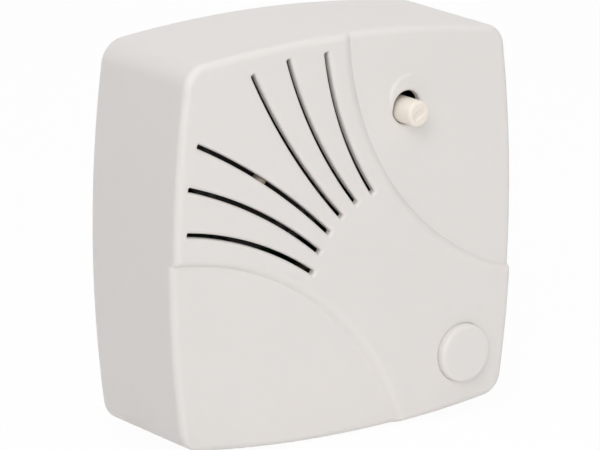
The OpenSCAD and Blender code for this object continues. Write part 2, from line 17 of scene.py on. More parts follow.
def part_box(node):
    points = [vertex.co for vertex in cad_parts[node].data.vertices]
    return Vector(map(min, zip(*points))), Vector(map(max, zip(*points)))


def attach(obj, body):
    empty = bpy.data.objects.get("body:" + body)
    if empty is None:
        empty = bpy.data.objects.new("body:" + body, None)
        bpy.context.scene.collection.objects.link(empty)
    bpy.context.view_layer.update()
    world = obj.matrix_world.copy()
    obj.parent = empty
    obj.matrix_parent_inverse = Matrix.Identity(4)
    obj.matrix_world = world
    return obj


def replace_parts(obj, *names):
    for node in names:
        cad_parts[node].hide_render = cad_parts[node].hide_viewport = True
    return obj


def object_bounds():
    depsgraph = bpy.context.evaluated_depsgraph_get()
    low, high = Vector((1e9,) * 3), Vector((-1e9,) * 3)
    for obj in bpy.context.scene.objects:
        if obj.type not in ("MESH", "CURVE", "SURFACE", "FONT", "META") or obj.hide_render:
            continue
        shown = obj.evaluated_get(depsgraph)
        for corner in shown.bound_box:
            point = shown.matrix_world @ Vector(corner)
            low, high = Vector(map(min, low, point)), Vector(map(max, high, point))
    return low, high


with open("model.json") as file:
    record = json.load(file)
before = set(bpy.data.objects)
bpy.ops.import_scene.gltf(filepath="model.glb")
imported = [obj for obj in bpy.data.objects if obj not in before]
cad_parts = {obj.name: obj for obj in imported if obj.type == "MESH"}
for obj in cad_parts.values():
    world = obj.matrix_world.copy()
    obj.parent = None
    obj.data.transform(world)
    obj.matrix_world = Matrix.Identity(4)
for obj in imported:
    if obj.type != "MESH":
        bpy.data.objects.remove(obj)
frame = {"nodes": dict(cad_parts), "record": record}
cad_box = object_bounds()

MM = 0.001


def centre_of(node):
    """Middle of a node's box across the front."""
    low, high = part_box(node)
    return np.array([low.x + high.x, low.z + high.z]) / 2 / MM


def reach_of(node):
    """How far a node stands out from the wall."""
    return -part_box(node)[0].y / MM


def foot_of(node):
    """How far from the wall a node begins."""
    return -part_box(node)[1].y / MM


# Housing: a bowed square that draws in towards the front, with a notch in its lower back edge
BODY_D = reach_of("front_cover")
HALF = 49.5
DRAFT = 0.5
SIDE_R = 305.0
CORNER_R = 6.0
EDGE_R = 1.8
WALL = 2.0
SHOULDER = 0.5
BACK_GAP = 0.3
NOTCH_HALF = 6.0
NOTCH_TOP = 1.5
CORNER_C = (math.sqrt(2 * (SIDE_R - CORNER_R) ** 2 - (SIDE_R - HALF) ** 2) - SIDE_R + HALF) / 2
CORNER_A = math.atan2(CORNER_C, CORNER_C + SIDE_R - HALF)

# Front: two lowered fields inside circles, the second almost a mirror image about the band's diagonal
FIELDS = np.array([[-52.85, -72.03], [68.75, 51.45]])
FIELD_R = np.array([72.4, 69.5])
FIELD_DROP = 1.2

# The first field falls away by this much more, over this length, to the left of this place
FIELD_FALL = 0.6
FALL_LENGTH = 60.0
FALL_FROM = 12.0

# Step into a field: its width, how far its foot lies inside the circle, and the power of its curve
STEP_W = 2.6
STEP_FOOT = 0.77
STEP_POWER = 1.7
STEP_POWER_GAIN = 0.045

# Fan of slots: inner ends on a circle, outer ends along the side, and each group of ends moved a little
SLOT_W_OUT = 1.05
SLOT_W_IN = 1.15
SLOT_ROUND = 0.35
SLOT_RIM = 0.9
SLOT_STEP = math.radians(11.7)
SLOT_PLACES = np.array([2.5, 1.5, 0.5])
SLOT_ENDS = np.array([[-45.9, 7.2], [-45.5, 18.0], [-43.0, 28.0]])
SLOT_RADII = (82.0, 107.0, 149.5)
FAN_C = np.array([13.85, -13.85])
FAN_R = 25.1
FAN_AIM = math.radians(135)
LEFT_SHIFT = np.array([-0.25, -0.25])
RIGHT_SHIFTS = np.array([[-0.37, -0.37], [0.0, -0.35]])

# Volume spindle, its hole and the raised crescent round the hole's upper half
SPINDLE = centre_of("volume_knob")
SPINDLE_TIP = reach_of("volume_knob")
SPINDLE_R = 3.25
SPINDLE_TIP_R = 3.15
SPINDLE_PIN_R = 1.9
TIP_ROUND = 0.8
GROOVE = np.array([3.3, 1.5])
GROOVE_D = 0.5
GROOVE_SOFT = 0.5
GROOVE_TURN = math.radians(30)
SPINDLE_HOLE = SPINDLE + [0.35, 0.65]
SPINDLE_HOLE_R = 4.1
SPINDLE_HOLE_RIM = 0.8
CRESCENT = SPINDLE + [0.85, 3.15]
CRESCENT_R = 5.6
CRESCENT_RISE = 0.4
CRESCENT_SLOPE = 0.9
CRESCENT_FADE = np.array([-1.0, 4.5])

# Push button, which stands a little lower than its solid
BUTTON = centre_of("push_button")
BUTTON_SINK = 0.4
BUTTON_TOP = reach_of("push_button") - BUTTON_SINK
BUTTON_R = 7.33
BUTTON_CLEAR = 0.05
BUTTON_RIM = 0.1
BUTTON_ROUND = 1.15
STEM_R = 2.2
FLANGE_R = 8.6
FLANGE_T = 1.2
FLANGE_GAP = 0.3
FLANGE_TOP = BODY_D - WALL - FLANGE_GAP

# Fineness of the meshes: numbers of points, and spacings
RIM_ROWS = 6
SLOT_END_POINTS = 6
SLOT_RUN_POINTS = 72
SPINDLE_HOLE_POINTS = 160
BUTTON_HOLE_POINTS = 200
BUTTON_POINTS = 144
BUTTON_RIM_ROWS = 10
SPINDLE_POINTS = 120
SPINDLE_RIM_ROWS = 7
STEP_POINTS = 900
CRESCENT_POINTS = 240
SIDE_POINTS = 120
CORNER_POINTS = 28
SIDE_ROWS = 6
ROLL_ROWS = 12
GRID = 2.4
GRID_HALF = 48.0
TIP_GRID = 0.08
TIP_GRID_HALF = 3.0
OPENING_MARGIN = 1.2
SEAM = 0.06
LEAST_GAP = 0.02
SHARP_ANGLE = math.radians(32)

# Where the steps cross the sides, from a side's middle, and how the points crowd there
CROSSINGS = (0.8, 15.2)
CROSSING_HALF = 2.0
CROSSING_POINTS = 33

# Rows of points along a step and along the crescent's edge, by their distance from its foot and its circle
STEP_ROWS = np.concatenate([STEP_W * np.linspace(1, 0.1, 13), [0.13, 0.05, 0, -0.05, -0.2]])
CRESCENT_ROWS = np.concatenate([[-3.0, -2.2, -1.4], CRESCENT_SLOPE * np.linspace(-0.6, 0.6, 13)])

# Camera
CAMERA_AZIMUTH = math.radians(-34.94)
CAMERA_ELEVATION = math.radians(14.47)
CAMERA_ROLL = 0.006
CAMERA_AIM = Vector((0, -0.0176, 0))
CAMERA_RIGHT = -0.001551
CAMERA_UP = -0.000881
CAMERA_BACK = 0.88517
CAMERA_LENS = 219.64
SENSOR_W = 36.0

# Lamps, each with its energy and the way to it, the light from all round, and the floor
LAMPS = (
    ("key_light", 5.43, (-0.579, -0.579, 0.574)),
    ("front_light", 4.7, (0.0, -1.0, 0.0)),
    ("top_light", 4.56, (0.0, 0.0, 1.0)),
)
LAMP_SIZE = 0.8
LAMP_DISTANCE = 1.25
ROUND_LIGHT = 0.39
WHITE = (1, 1, 1, 1)
FLOOR_HALF = 4.0
FLOOR_PAINT = (0.92, 0.92, 0.92, 1)
FLOOR_GLOW = 0.96


def ramp(t):
    """Soft step from 0 to 1 as t goes from 0 to 1: 3t^2 - 2t^3."""
    t = np.clip(t, 0, 1)
    return t * t * (3 - 2 * t)


def circle(count):
    """Unit directions evenly round a full turn."""
    t = np.arange(count) * (2 * np.pi / count)
    return np.stack([np.cos(t), np.sin(t)], 1)


def turned(points, angle):
    """Points turned about the origin."""
    c, s = math.cos(angle), math.sin(angle)
    return points @ np.array([[c, s], [-s, c]])


class Hole:
    """Round opening. The distance to its edge is the distance to its centre less its radius."""

    def __init__(self, centre, radius, rim, count):
        self.centre, self.radius, self.rim, self.count = centre, radius, rim, count

    def distance(self, p):
        return np.hypot(*(p - self.centre).T) - self.radius

    def ring(self, grow):
        """Closed ring that runs a distance outside the edge."""
        return self.centre + (self.radius + grow) * circle(self.count)


class Slot:
    """Curved slot: a rounded rectangle bent along an arc, measured along the arc (s) and across it (n).

    Its width goes evenly from one end's to the other's. Seen from the arc's centre, the first end is the one
    on the left.
    """

    def __init__(self, first, second, radius, widths):
        chord = second - first
        length = np.hypot(*chord)
        down = np.array([chord[1], -chord[0]]) / length
        self.radius, self.rim = radius, SLOT_RIM
        self.centre = (first + second) / 2 + math.sqrt(radius ** 2 - length ** 2 / 4) * down
        ends = [math.atan2(*(end - self.centre)[::-1]) for end in (first, second)]
        self.middle = sum(ends) / 2
        self.half = np.array([radius * (ends[0] - ends[1]), sum(widths) / 2]) / 2
        self.taper = (widths[0] - widths[1]) / 4 / self.half[0]

    def widening(self, s):
        """What the taper adds to half the width at a place along the arc."""
        return self.taper * np.clip(s, -self.half[0], self.half[0])

    def distance(self, p):
        """Distance to the rectangle made smaller by the rounding, less the rounding."""
        v = p - self.centre
        turn = np.arctan2(v[:, 1], v[:, 0]) - self.middle
        s = self.radius * ((turn + np.pi) % (2 * np.pi) - np.pi)
        n = np.abs(np.hypot(*v.T) - self.radius) - self.widening(s)
        q = np.stack([np.abs(s), n], 1) - (self.half - SLOT_ROUND)
        return np.hypot(*np.maximum(q, 0).T) + np.minimum(q.max(1), 0) - SLOT_ROUND

    def ring(self, grow):
        """Closed ring a distance outside the edge: quarter circles and straight runs, bent to the arc."""
        box = self.half - SLOT_ROUND
        arc = np.linspace(0, np.pi / 2, SLOT_END_POINTS)
        quarter = (SLOT_ROUND + grow) * np.stack([np.cos(arc), np.sin(arc)], 1)
        run = np.linspace(box[0], -box[0], SLOT_RUN_POINTS)[1:-1]
        top = np.stack([run, np.full_like(run, self.half[1] + grow)], 1)
        ends = np.concatenate([quarter + box, top, turned(quarter, np.pi / 2) + box * [-1, 1]])
        s, n = np.concatenate([ends, -ends])[::-1].T
        n = n + np.sign(n) * self.widening(s)
        a = self.middle + s / self.radius
        return self.centre + (self.radius + n)[:, None] * np.stack([np.cos(a), np.sin(a)], 1)


def fan_slots():
    """Six slots: three on the fan's left, and the same mirrored about the diagonal, (x, y) to (-y, -x)."""
    a = FAN_AIM + SLOT_STEP * SLOT_PLACES
    inner = FAN_C + FAN_R * np.stack([np.cos(a), np.sin(a)], 1)
    sides = list(zip(SLOT_ENDS, inner, SLOT_RADII))
    widths = SLOT_W_OUT, SLOT_W_IN
    left = [Slot(p + LEFT_SHIFT, q + LEFT_SHIFT, r, widths) for p, q, r in sides]
    right = [
        Slot(RIGHT_SHIFTS[0] - q[::-1], RIGHT_SHIFTS[1] - p[::-1], r, widths[::-1]) for p, q, r in sides
    ]
    return left + right


OPENINGS = fan_slots() + [
    Hole(SPINDLE_HOLE, SPINDLE_HOLE_R, SPINDLE_HOLE_RIM, SPINDLE_HOLE_POINTS),
    Hole(BUTTON, BUTTON_R + BUTTON_CLEAR, BUTTON_RIM, BUTTON_HOLE_POINTS),
]


def opening_distance(p):
    """Distance from each point to the nearest opening's edge, below zero inside an opening."""
    return np.min([o.distance(p) for o in OPENINGS], 0)


def opening_rim(p):
    """Radius of the rounding of the opening that is nearest to each point."""
    nearest = np.argmin([o.distance(p) for o in OPENINGS], 0)
    return np.array([o.rim for o in OPENINGS])[nearest]


def way_down(p):
    """How far points are down the step into each field: 0 on the band, and 1 past the step's foot."""
    inside = FIELD_R - np.hypot(*(p[:, None] - FIELDS).transpose(2, 0, 1))
    return np.clip((inside - STEP_FOOT) / STEP_W + 1, 0, 1)


def lowered(p):
    """Depth of the fields below the band: a power of the way down a step, with a sharp foot in the field.

    The power grows sideways, so that the steps are sharpest at the left and right of the front. The lower
    left field falls away a little more towards the left.
    """
    fall = FIELD_FALL * np.clip((FALL_FROM - p[:, 0]) / FALL_LENGTH, 0, 1)
    drop = FIELD_DROP + np.stack([fall, np.zeros(len(p))], 1)
    power = STEP_POWER + STEP_POWER_GAIN * np.abs(p[:, :1])
    return (drop * way_down(p) ** power).sum(1)


def raised(p):
    """Height of the crescent: a soft step across its circle, which fades out towards the right."""
    away = p - CRESCENT
    fade = 1 - ramp((away[:, 0] - CRESCENT_FADE[0]) / np.ptp(CRESCENT_FADE))
    return CRESCENT_RISE * fade * ramp((CRESCENT_R - np.hypot(*away.T)) / CRESCENT_SLOPE + 0.5)


def front_height(p):
    """Height of the front over the wall: the band, less the fields, plus the crescent."""
    return BODY_D - lowered(p) + raised(p)


def slope(function, p, step=1e-3):
    """Gradient of a function of the plane, by central differences."""
    return np.stack([
        (function(p + [step, 0]) - function(p - [step, 0])) / (2 * step),
        (function(p + [0, step]) - function(p - [0, step])) / (2 * step),
    ], 1)


def unit(v):
    """Vectors brought to a length of 1."""
    return v / np.linalg.norm(v, axis=-1, keepdims=True)


class Skin:
    """Points and faces of one piece as they are added, each face with the normals of its corners."""

    def __init__(self):
        self.points, self.faces, self.normals, self.count = [], [], [], 0

    def add(self, points):
        """Takes points and gives back their indices."""
        self.points.append(np.asarray(points, float))
        self.count += len(points)
        return np.arange(self.count - len(points), self.count)

    def cover(self, faces, normals=None):
        """Takes faces, with one normal a corner or, for flat faces, none."""
        if normals is None:
            p = np.concatenate(self.points)[faces]
            flat = unit(np.cross(p[:, 1] - p[:, 0], p[:, 2] - p[:, 0]))
            normals = np.repeat(flat[:, None], faces.shape[1], 1)
        self.faces.append(faces)
        self.normals.append(normals)

    def strip(self, first, second, first_n=None, second_n=None):
        """Band of quads between two closed rings of indices, from the first to the second."""
        here = np.arange(len(first))
        there = np.roll(here, -1)
        faces = np.stack([first[here], first[there], second[there], second[here]], 1)
        normals = None
        if first_n is not None:
            normals = np.stack([first_n[here], first_n[there], second_n[there], second_n[here]], 1)
        self.cover(faces, normals)

    def cap(self, ring, centre):
        """Fan of triangles from a closed ring of indices to one point."""
        hub = np.full(len(ring), self.add([centre])[0])
        self.cover(np.stack([ring, np.roll(ring, -1), hub], 1))

    def made(self, name, body, slot, material, own_normals=False):
        """Stands the points up, (x, y, z) to (x, -z, y), and makes them a piece that rides on a body."""
        p = np.concatenate(self.points)
        upright = np.stack([p[:, 0], -p[:, 2], p[:, 1]], 1) * MM
        sizes = np.concatenate([np.full(len(f), f.shape[1]) for f in self.faces])
        corners = np.concatenate([f.ravel() for f in self.faces])
        mesh = bpy.data.meshes.new(name)
        mesh.vertices.add(len(p))
        mesh.vertices.foreach_set("co", upright.astype(np.float32).ravel())
        mesh.loops.add(len(corners))
        mesh.loops.foreach_set("vertex_index", corners.astype(np.int32))
        mesh.polygons.add(len(sizes))
        mesh.polygons.foreach_set("loop_start", (np.cumsum(sizes) - sizes).astype(np.int32))
        mesh.polygons.foreach_set("use_smooth", np.ones(len(sizes), bool))
        mesh.update(calc_edges=True)
        if own_normals:
            n = np.concatenate([n.reshape(-1, 3) for n in self.normals])
            mesh.normals_split_custom_set(np.stack([n[:, 0], -n[:, 2], n[:, 1]], 1))
        else:
            mesh.set_sharp_from_angle(angle=SHARP_ANGLE)
        mesh.materials.append(material)
        piece = bpy.data.objects.new(name, mesh)
        bpy.context.scene.collection.objects.link(piece)
        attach(piece, body)
        return piece


def sheet(points, rings, tolerance=1e-7, least_area=1e-9):
    """Triangles of a flat sheet through all the points, facing +z, with closed rings of indices as edges."""
    edges = np.concatenate([np.stack([r, np.roll(r, -1)], 1) for r in rings])
    laid = delaunay_2d_cdt(list(map(Vector, points.tolist())), edges.tolist(), [], 0, tolerance)
    faces = np.array([first[0] for first in laid[3]])[np.array(laid[2])]
    a, b, c = points[faces].transpose(1, 0, 2)
    turn = (b - a)[:, 0] * (c - a)[:, 1] - (b - a)[:, 1] * (c - a)[:, 0]
    faces[turn < 0] = faces[turn < 0][:, ::-1]
    return faces[np.abs(turn) > least_area]


def outline_rays():
    """Rays of the bowed square outline, as a centre, a radius and a direction each.

    A side is an arc of SIDE_R about a far centre and a corner an arc of CORNER_R about a near one, so a point
    set in by d lies at centre + (radius - d) * direction. The rays crowd where a field's step or the notch
    crosses a side, and a ray that lies too close to the one before it is dropped.
    """
    even = np.linspace(-CORNER_A, CORNER_A, SIDE_POINTS)[1:-1]
    near = np.linspace(-CROSSING_HALF, CROSSING_HALF, CROSSING_POINTS) / SIDE_R
    steps = [s * at / SIDE_R + near for at in CROSSINGS for s in (-1, 1)]
    notch = [s * (NOTCH_HALF + d) / SIDE_R for d in (-LEAST_GAP, LEAST_GAP) for s in (-1, 1)]
    side = np.sort(np.concatenate([even, *steps, notch]))
    side = side[np.diff(side, prepend=-1) > LEAST_GAP / SIDE_R]
    corner = np.linspace(CORNER_A, np.pi / 2 - CORNER_A, CORNER_POINTS)
    far = np.tile([HALF - SIDE_R, 0.0], (len(side), 1))
    centre = np.concatenate([far, np.full((len(corner), 2), CORNER_C)])
    radius = np.concatenate([np.full(len(side), SIDE_R), np.full(len(corner), CORNER_R)])
    angle = np.concatenate([side, corner])
    aim = np.stack([np.cos(angle), np.sin(angle)], 1)
    quarters = [k * np.pi / 2 for k in range(4)]
    return (
        np.concatenate([turned(centre, q) for q in quarters]),
        np.tile(radius, 4),
        np.concatenate([turned(aim, q) for q in quarters]),
    )


RAY_CENTRE, RAY_R, RAY_AIM = outline_rays()


def outline(inset):
    """Points of the housing's outline, set in by a distance."""
    return RAY_CENTRE + (RAY_R - inset)[:, None] * RAY_AIM


def margin(p):
    """Distance from points to the outline they lie in: the least over the four sides and four corners."""
    far = np.array([[HALF - SIDE_R, 0.0]])
    sides = [SIDE_R - np.hypot(*(p - turned(far, k * np.pi / 2)).T) for k in range(4)]
    q = np.abs(p) - CORNER_C
    corner = np.where(q.min(1) > 0, CORNER_R - np.hypot(*q.T), np.inf)
    return np.minimum(np.min(sides, 0), corner)


def front_points():
    """Points of the front, as closed rings and as loose points.

    The rings are the edge and, round each opening, rows over its rounded rim. The loose points are rows along
    each field's step and the crescent, and an even grid where the front is level.
    """
    bend = np.linspace(0, np.pi / 2, RIM_ROWS)
    rings = [outline(EDGE_R)] + [o.ring(o.rim * (1 - math.cos(a))) for o in OPENINGS for a in bend]
    rows = FIELD_R[:, None] - STEP_FOOT + STEP_ROWS
    steps = (FIELDS[:, None, None] + rows[:, :, None, None] * circle(STEP_POINTS)).reshape(-1, 2)
    rows = CRESCENT_R + CRESCENT_ROWS
    crescent = CRESCENT + (rows[:, None, None] * circle(CRESCENT_POINTS)).reshape(-1, 2)
    axis = np.arange(-GRID_HALF, GRID_HALF + GRID / 2, GRID)
    even = np.stack(np.meshgrid(axis, axis), 2).reshape(-1, 2)
    level = np.isin(way_down(even), (0, 1)).all(1) & (raised(even) == 0)
    loose = np.concatenate([steps, crescent, even[level & (opening_distance(even) > OPENING_MARGIN)]])
    off_edge = margin(loose) > EDGE_R + SEAM
    off_rims = opening_distance(loose) > opening_rim(loose) + LEAST_GAP
    return rings, loose[off_edge & off_rims]


# A closed ring of a skin's points: their indices, heights and normals
Ring = namedtuple("Ring", "index heights normals")


def lay_front(skin):
    """Front of the cover over the plane, and its underside one wall further in, joined through the openings.

    At a distance d from an opening whose rim has a radius r, the front lies lower by
    r - sqrt(r^2 - (r - d)^2), a quarter circle. Gives back the rings along the edge, of the front and of the
    underside.
    """
    rings, loose = front_points()
    flat = np.concatenate([*rings, loose])
    starts = np.cumsum([0] + [len(r) for r in rings])
    index = [np.arange(a, b) for a, b in zip(starts[:-1], starts[1:])]
    edge, mouths = index[0], index[1::RIM_ROWS]
    faces = sheet(flat, index)
    faces = faces[opening_distance(flat[faces].mean(1)) > 0]

    rim = opening_rim(flat)
    tilt = np.clip(1 - opening_distance(flat) / rim, 0, 1)
    level = np.sqrt(1 - tilt ** 2)
    heights = front_height(flat) - rim * (1 - level)
    lean = unit(np.column_stack([-slope(front_height, flat), np.ones(len(flat))]))
    mouth_n = np.column_stack([-slope(opening_distance, flat), np.zeros(len(flat))])
    front_n = unit(lean * level[:, None] + mouth_n * tilt[:, None])
    top = skin.add(np.column_stack([flat, heights]))
    skin.cover(top[faces], front_n[faces])

    under_z = BODY_D - WALL - lowered(flat)
    under_n = unit(np.column_stack([-slope(lowered, flat), -np.ones(len(flat))]))
    under = skin.add(np.column_stack([flat, under_z]))
    skin.cover(under[faces[:, ::-1]], under_n[faces[:, ::-1]])
    for mouth in mouths:
        skin.strip(top[mouth], under[mouth], mouth_n[mouth], mouth_n[mouth])
    return Ring(top[edge], heights[edge], front_n[edge]), Ring(under[edge], under_z[edge], under_n[edge])


def lay_sides(skin, front):
    """Sides of the cover: rows of the outline, drafted from the back edge up, then rolled into the front.

    The draft shrinks evenly with the height, and the roll is a quarter circle. The back edge rises into the
    notch in the middle of the bottom. Gives back the ring of the back edge.
    """
    notched = (RAY_AIM[:, 1] < 0) & (np.abs(outline(EDGE_R)[:, 0]) < NOTCH_HALF)
    back = np.where(notched, NOTCH_TOP, BACK_GAP)
    share = np.linspace(0, 1, SIDE_ROWS)[:, None]
    bend = np.linspace(0, np.pi / 2, ROLL_ROWS)[1:, None]
    side_z = back + share * (front.heights - EDGE_R - back)
    side_in = -DRAFT * (1 - side_z / (BODY_D - EDGE_R))
    roll_z = front.heights - EDGE_R * (1 - np.sin(bend))
    roll_in = side_in[-1] + (EDGE_R - side_in[-1]) * (1 - np.cos(bend))
    heights = np.concatenate([side_z, roll_z])
    insets = np.concatenate([side_in, roll_in])
    grid = np.stack([np.column_stack([outline(i), z]) for i, z in zip(insets, heights)])
    along = np.roll(grid, -1, 1) - np.roll(grid, 1, 1)
    normals = unit(np.cross(along, np.gradient(grid, axis=0)))
    normals[-1] = front.normals
    rows = [skin.add(g) for g in grid[:-1]] + [front.index]
    for k in range(len(rows) - 1):
        skin.strip(rows[k], rows[k + 1], normals[k], normals[k + 1])
    return Ring(rows[0], back, normals[0])


def lay_inside(skin, under, back):
    """Inner walls, one wall in from the sides: from the underside over a shoulder to the back edge."""
    inward = np.column_stack([-RAY_AIM, np.zeros(len(RAY_AIM))])
    shoulder = skin.add(np.column_stack([outline(WALL), under.heights - SHOULDER]))
    hem = skin.add(np.column_stack([outline(WALL - DRAFT), back.heights]))
    skin.strip(under.index, shoulder, under.normals, inward)
    skin.strip(shoulder, hem, inward, inward)
    skin.strip(hem, back.index)


def make_cover(material):
    """Front cover: a closed shell of the front, the sides and the inner walls."""
    skin = Skin()
    front, under = lay_front(skin)
    back = lay_sides(skin, front)
    lay_inside(skin, under, back)
    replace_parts(skin.made("cover", "housing", "cover_plastic", material, own_normals=True), "front_cover")


def rounded_rim(radius, top, bend_r, count):
    """Profile of a rim: a quarter circle from the side, at the radius, over to the top."""
    bend = np.linspace(0, np.pi / 2, count)
    return np.column_stack([radius - bend_r * (1 - np.cos(bend)), top - bend_r * (1 - np.sin(bend))])


def revolved(skin, profile, centre, count, lid=None):
    """Profile of (radius, height) points carried round an axis, from a fan at its foot up to a lid's ring.

    With no lid, a fan closes the upper end too.
    """
    turn = circle(count)
    rows = [skin.add(np.column_stack([centre + r * turn, np.full(count, z)])) for r, z in profile]
    if lid is not None:
        rows.append(lid)
    for low, high in zip(rows[:-1], rows[1:]):
        skin.strip(low, high)
    if lid is None:
        skin.cap(rows[-1], [*centre, profile[-1][1]])
    skin.cap(rows[0][::-1], [*centre, profile[0][1]])


def make_button(material):
    """Push button: a stem, a retaining flange and a cap with a rounded rim, carried round the axis."""
    profile = np.concatenate([
        [[STEM_R, foot_of("push_button")], [STEM_R, FLANGE_TOP - FLANGE_T]],
        [[FLANGE_R, FLANGE_TOP - FLANGE_T], [FLANGE_R, FLANGE_TOP], [BUTTON_R, FLANGE_TOP]],
        rounded_rim(BUTTON_R, BUTTON_TOP, BUTTON_ROUND, BUTTON_RIM_ROWS),
        [[BUTTON_R / 2, BUTTON_TOP]],
    ])
    skin = Skin()
    revolved(skin, profile, BUTTON, BUTTON_POINTS)
    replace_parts(skin.made("button_cap", "button", "cover_plastic", material), "push_button")


def make_spindle(material):
    """Volume spindle: a pin and a shaft with a rounded tip, carried round the axis.

    The tip's face drops into a groove: a soft step by the distance to a rectangle's edge.
    """
    face_r = SPINDLE_TIP_R - TIP_ROUND
    axis = np.arange(-TIP_GRID_HALF, TIP_GRID_HALF + TIP_GRID / 2, TIP_GRID)
    grid = turned(np.stack(np.meshgrid(axis, axis), 2).reshape(-1, 2), GROOVE_TURN)
    flat = np.concatenate([face_r * circle(SPINDLE_POINTS), grid[np.hypot(*grid.T) < face_r - SEAM]])
    away = np.abs(turned(flat, -GROOVE_TURN)) - GROOVE / 2
    edge = np.hypot(*np.maximum(away, 0).T) + np.minimum(away.max(1), 0)
    heights = SPINDLE_TIP - GROOVE_D * (1 - ramp(edge / GROOVE_SOFT + 0.5))
    shoulder = reach_of("potentiometer_rotor")
    profile = np.concatenate([
        [[SPINDLE_PIN_R, foot_of("volume_knob")], [SPINDLE_PIN_R, shoulder]],
        [[SPINDLE_R, shoulder], [SPINDLE_R, BODY_D - FIELD_DROP - WALL]],
        rounded_rim(SPINDLE_TIP_R, SPINDLE_TIP, TIP_ROUND, SPINDLE_RIM_ROWS)[:-1],
    ])
    skin = Skin()
    ring = np.arange(SPINDLE_POINTS)
    face = skin.add(np.column_stack([flat + SPINDLE, heights]))
    skin.cover(face[sheet(flat, [ring])])
    revolved(skin, profile, SPINDLE, SPINDLE_POINTS, face[ring])
    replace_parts(skin.made("volume_spindle", "volume_control", "cream_plastic", material), "volume_knob")


class Tone:
    """A value over a surface, held as a socket of a material's nodes. Arithmetic on it adds Math nodes."""

    def __init__(self, tree, socket=None):
        self.tree, self.socket = tree, socket

    def node(self, kind, settings=None, sockets=None, out=0):
        """Adds a node of any kind: its settings first, then the values or links of its sockets."""
        made = self.tree.nodes.new(kind)
        for name, value in (settings or {}).items():
            setattr(made, name, value)
        for name, value in (sockets or {}).items():
            if isinstance(value, Tone):
                self.tree.links.new(value.socket, made.inputs[name])
            else:
                made.inputs[name].default_value = value
        return Tone(self.tree, made.outputs[out])

    def maths(self, operation, a, b):
        return self.node("ShaderNodeMath", {"operation": operation}, {0: a, 1: b})

    def __add__(self, other):
        return self.maths("ADD", self, other)

    __radd__ = __add__

    def __mul__(self, other):
        return self.maths("MULTIPLY", self, other)

    __rmul__ = __mul__

    def noise(self, scale, detail=3.0, stretch=(1, 1, 1)):
        """Cloudy noise on the object's own coordinates, with about scale features a metre."""
        place = self.node("ShaderNodeTexCoord", out="Object")
        place = self.node("ShaderNodeMapping", {}, {"Vector": place, "Scale": stretch})
        return self.node("ShaderNodeTexNoise", {}, {"Vector": place, "Scale": scale, "Detail": detail}, "Fac")

    def cells(self, scale):
        """Distance to the nearest of scattered points, about scale of them a metre."""
        place = self.node("ShaderNodeTexCoord", out="Object")
        return self.node("ShaderNodeTexVoronoi", {}, {"Vector": place, "Scale": scale}, "Distance")

    def between(self, first, second):
        """Colour that goes from the first to the second as this value goes from 0 to 1."""
        ends = {"Factor": self, 6: (*first, 1), 7: (*second, 1)}
        return self.node("ShaderNodeMix", {"data_type": "RGBA"}, ends, 2)

    def ranged(self, low, high):
        """Value that goes from low to high as this value goes from 0 to 1."""
        return self * (high - low) + low

    def bump(self, depth):
        """Normal of a surface that this value raises, up to a depth in metres."""
        return self.node("ShaderNodeBump", {}, {"Height": self, "Strength": 1.0, "Distance": depth})


def finish_of(name, build, **constants):
    """Material of one principled shader: build gives its sockets' tones, and the constants are set on it."""
    material = bpy.data.materials.new(name)
    material.use_nodes = True
    tree = material.node_tree
    shader = tree.nodes["Principled BSDF"]
    for socket, tone in build(Tone(tree)).items():
        tree.links.new(tone.socket, shader.inputs[socket])
    for socket, value in constants.items():
        shader.inputs[socket.replace("_", " ")].default_value = value
    return material


def shades(colour, spread):
    """A colour made a little darker and a little lighter."""
    c = np.array(colour)
    return tuple(c * (1 - spread)), tuple(np.minimum(c * (1 + spread), 1))


def moulded(name, colour, roughness=0.42, grain=2600.0, depth=6e-6, spread=0.02, **constants):
    """Moulded plastic: the colour drifts over centimetres, and a fine eroded grain breaks up the shine."""
    def build(tone):
        drift = tone.noise(38.0) * 0.7 + tone.noise(260.0) * 0.3
        fine = tone.noise(grain, 2.0)
        coarse = tone.noise(grain * 0.3, 1.0)
        return {
            "Base Color": drift.between(*shades(colour, spread)),
            "Roughness": fine.ranged(roughness - 0.06, roughness + 0.06),
            "Normal": (fine + coarse).bump(depth),
        }
    return finish_of(name, build, **constants)


def metal(name, colour, roughness=0.3, stretch=(1, 1, 1), spread=0.08):
    """Plated metal: patchy brightness and fine scratches drawn out one way."""
    def build(tone):
        patches = tone.noise(120.0)
        scratches = tone.noise(1800.0, 4.0, stretch)
        return {
            "Base Color": patches.between(*shades(colour, spread)),
            "Roughness": scratches.ranged(roughness - 0.1, roughness + 0.15),
            "Normal": scratches.bump(4e-6),
        }
    return finish_of(name, build, Metallic=1.0)


def fibrous(name, colour, fibre=1500.0, stretch=(1, 1, 0.3), depth=4e-5, spread=0.25):
    """Pressed paper or cloth: tangled fibres that catch the light, with no shine."""
    def build(tone):
        fibres = tone.noise(fibre, 5.0, stretch)
        return {
            "Base Color": fibres.between(*shades(colour, spread)),
            "Roughness": fibres.ranged(0.8, 0.95),
            "Normal": fibres.bump(depth),
        }
    return finish_of(name, build)


def foamed(name, colour):
    """Foam rubber: open pores of a few tenths of a millimetre."""
    def build(tone):
        pores = tone.cells(2200.0)
        return {
            "Base Color": pores.between(*shades(colour, 0.5)),
            "Roughness": pores.ranged(0.85, 0.95),
            "Normal": pores.bump(1e-4),
        }
    return finish_of(name, build, Specular_IOR_Level=0.1)


def laminate(name, colour):
    """Paper laminate board: faint crossed fibres under a thin resin gloss."""
    def build(tone):
        weave = tone.noise(700.0, 3.0, (6, 6, 0.6)) * 0.5 + tone.noise(700.0, 3.0, (0.6, 6, 6)) * 0.5
        return {
            "Base Color": weave.between(*shades(colour, 0.2)),
            "Roughness": weave.ranged(0.3, 0.5),
            "Normal": weave.bump(1e-5),
        }
    return finish_of(name, build)


